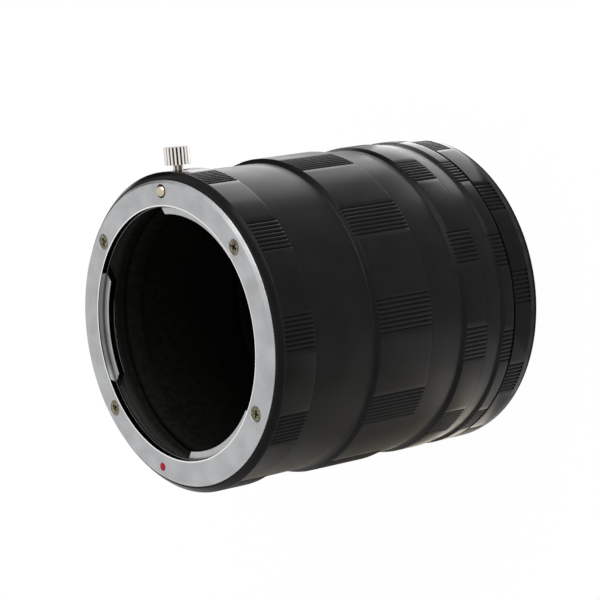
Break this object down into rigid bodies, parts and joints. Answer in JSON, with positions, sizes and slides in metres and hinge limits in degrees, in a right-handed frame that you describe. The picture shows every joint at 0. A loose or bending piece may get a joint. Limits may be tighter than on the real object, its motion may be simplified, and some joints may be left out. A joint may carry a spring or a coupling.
{
  "type": "macro extension tube",
  "caption": "Screw-together macro extension tube: lens bayonet ring with lock knob, long, middle and short tube, and camera bayonet ring, with straight grip grooves in patches.",
  "frame": {"origin": "on the optical axis, at the end face of the camera side's spigot, which it stands on", "axes": "+Z along the optical axis towards the lens side, -Y towards the lock knob"},
  "size_m": [0.0682, 0.073, 0.0803],
  "materials": {
    "black_anodised": "satin black anodised",
    "bright_plate": "satin plated",
    "bright_steel": "turned and polished",
    "spring_steel": "bare spring steel",
    "screw_brass": "dull bronze plated",
    "red_bead": "glossy red"
  },
  "bodies": {
    "camera_mount": {"camera_mount_housing": "black_anodised", "camera_mount_plate": "bright_plate", "camera_index_dot": "red_bead", "camera_mount_screw_1": "screw_brass", "camera_mount_screw_2": "screw_brass", "camera_mount_screw_3": "screw_brass", "camera_mount_screw_4": "screw_brass"},
    "short_ring": {"short_tube": "black_anodised"},
    "middle_ring": {"middle_tube": "black_anodised"},
    "long_ring": {"long_tube": "black_anodised"},
    "lens_mount": {"lens_mount_housing": "black_anodised", "lens_mount_plate": "bright_plate", "lens_index_dot": "red_bead", "lock_spring": "spring_steel", "leaf_spring_1": "spring_steel", "leaf_spring_2": "spring_steel", "leaf_spring_3": "spring_steel", "lens_mount_screw_1": "screw_brass", "lens_mount_screw_2": "screw_brass", "lens_mount_screw_3": "screw_brass", "lens_mount_screw_4": "screw_brass"},
    "lock": {"lock_pin": "bright_steel", "lock_knob": "bright_steel"}
  },
  "joints": [
    {"name": "short_tube_off", "type": "slide", "parent": "camera_mount", "child": "short_ring", "axis": [0, 0, 1], "range_m": [0, 0.006]},
    {"name": "middle_tube_off", "type": "slide", "parent": "short_ring", "child": "middle_ring", "axis": [0, 0, 1], "range_m": [0, 0.006]},
    {"name": "long_tube_off", "type": "slide", "parent": "middle_ring", "child": "long_ring", "axis": [0, 0, 1], "range_m": [0, 0.006]},
    {"name": "lens_mount_off", "type": "slide", "parent": "long_ring", "child": "lens_mount", "axis": [0, 0, 1], "range_m": [0, 0.006]},
    {"name": "lock_slide", "type": "slide", "parent": "lens_mount", "child": "lock", "axis": [0, 0, -1], "range_m": [0, 0.0015], "stiffness_N_per_m": 250, "springref_m": -0.002, "deforming": ["lock_spring"]}
  ]
}
